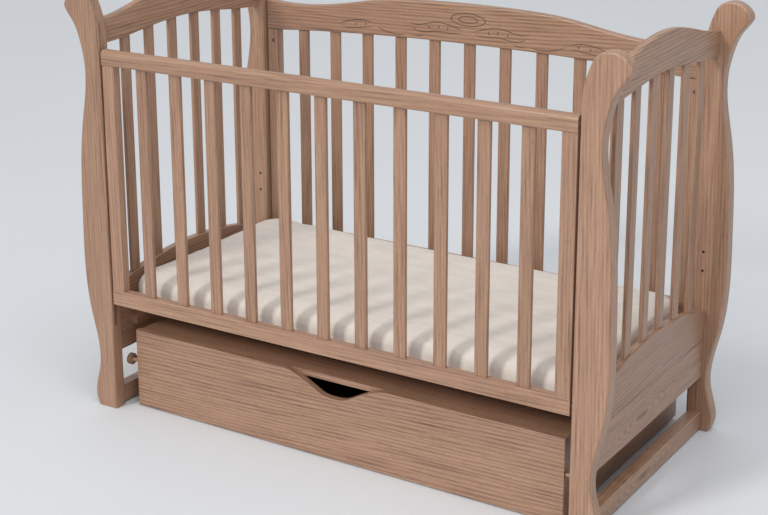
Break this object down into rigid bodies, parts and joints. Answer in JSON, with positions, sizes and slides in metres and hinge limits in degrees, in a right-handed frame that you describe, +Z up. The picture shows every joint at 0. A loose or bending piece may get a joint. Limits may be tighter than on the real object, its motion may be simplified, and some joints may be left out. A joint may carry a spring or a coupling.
{
  "type": "baby crib",
  "caption": "Wooden baby crib with wavy posts, slatted sides, an arched carved back rail, a drop side, a mattress and a rolling drawer with a wave cut-out.",
  "frame": {"origin": "centre of the footprint on the floor", "axes": "+X along the crib to the right, +Y to the back panel, +Z up"},
  "size_m": [1.399, 0.664, 1.011],
  "materials": {
    "wood": "satin lacquered brown hardwood with a fine straight grain",
    "board": "plain thin board",
    "fabric": "off-white quilted mattress cover",
    "steel": "zinc-plated hardware",
    "wheel": "dark plastic castor wheel"
  },
  "bodies": {
    "frame": {"back_barrel_nuts": "steel", "back_bottom_rail": "wood", "back_panel_bolts": "steel", "back_slats": "wood", "back_stile_left": "wood", "back_stile_right": "wood", "back_top_rail": "wood", "base_cleat_left": "wood", "base_cleat_right": "wood", "base_rail_back": "wood", "base_rail_front": "wood", "base_rail_left": "wood", "base_rail_right": "wood", "base_slats": "wood", "end_board_lower_left": "wood", "end_board_lower_right": "wood", "end_board_upper_left": "wood", "end_board_upper_right": "wood", "end_rail_left": "wood", "end_rail_right": "wood", "end_runner_left": "wood", "end_runner_right": "wood", "end_slats_left": "wood", "end_slats_right": "wood", "mattress": "fabric", "post_back_left": "wood", "post_back_right": "wood", "post_front_left": "wood", "post_front_right": "wood", "runner_plugs_left": "wood", "runner_plugs_right": "wood"},
    "drop_side": {"front_bottom_rail": "wood", "front_guide_pins": "steel", "front_handrail": "wood", "front_slat_01": "wood", "front_slat_02": "wood", "front_slat_03": "wood", "front_slat_04": "wood", "front_slat_05": "wood", "front_slat_06": "wood", "front_slat_07": "wood", "front_slat_08": "wood", "front_slat_09": "wood", "front_slat_10": "wood", "front_slat_11": "wood", "front_stile_left": "wood", "front_stile_right": "wood"},
    "drawer": {"castor_axles": "steel", "castor_brackets": "steel", "drawer_back": "wood", "drawer_floor": "board", "drawer_front": "wood", "drawer_guide_knobs": "wood", "drawer_lid": "wood", "drawer_side_left": "wood", "drawer_side_right": "wood"},
    "wheel_back_left": {"castor_wheel_back_left": "wheel"},
    "wheel_back_right": {"castor_wheel_back_right": "wheel"},
    "wheel_front_left": {"castor_wheel_front_left": "wheel"},
    "wheel_front_right": {"castor_wheel_front_right": "wheel"}
  },
  "joints": [
    {"name": "drop_side_slide", "type": "slide", "parent": "frame", "child": "drop_side", "axis": [0, 0, 1], "range_m": [-0.07, 0]},
    {"name": "drawer_slide", "type": "slide", "parent": "frame", "child": "drawer", "axis": [0, -1, 0], "range_m": [0, 0.45]},
    {"name": "wheel_back_left_spin", "type": "hinge", "parent": "drawer", "child": "wheel_back_left", "pos_m": [-0.478, 0.254, 0.0195], "axis": [1, 0, 0], "range_deg": [-5, 1365]},
    {"name": "wheel_back_right_spin", "type": "hinge", "parent": "drawer", "child": "wheel_back_right", "pos_m": [0.478, 0.254, 0.0195], "axis": [1, 0, 0], "range_deg": [-5, 1365]},
    {"name": "wheel_front_left_spin", "type": "hinge", "parent": "drawer", "child": "wheel_front_left", "pos_m": [-0.478, -0.208, 0.0195], "axis": [1, 0, 0], "range_deg": [-5, 1365]},
    {"name": "wheel_front_right_spin", "type": "hinge", "parent": "drawer", "child": "wheel_front_right", "pos_m": [0.478, -0.208, 0.0195], "axis": [1, 0, 0], "range_deg": [-5, 1365]}
  ],
  "couplings": [
    {"joint": "wheel_back_left_spin", "follows": "drawer_slide", "rad_per_m": 52.632},
    {"joint": "wheel_back_right_spin", "follows": "drawer_slide", "rad_per_m": 52.632},
    {"joint": "wheel_front_left_spin", "follows": "drawer_slide", "rad_per_m": 52.632},
    {"joint": "wheel_front_right_spin", "follows": "drawer_slide", "rad_per_m": 52.632}
  ]
}
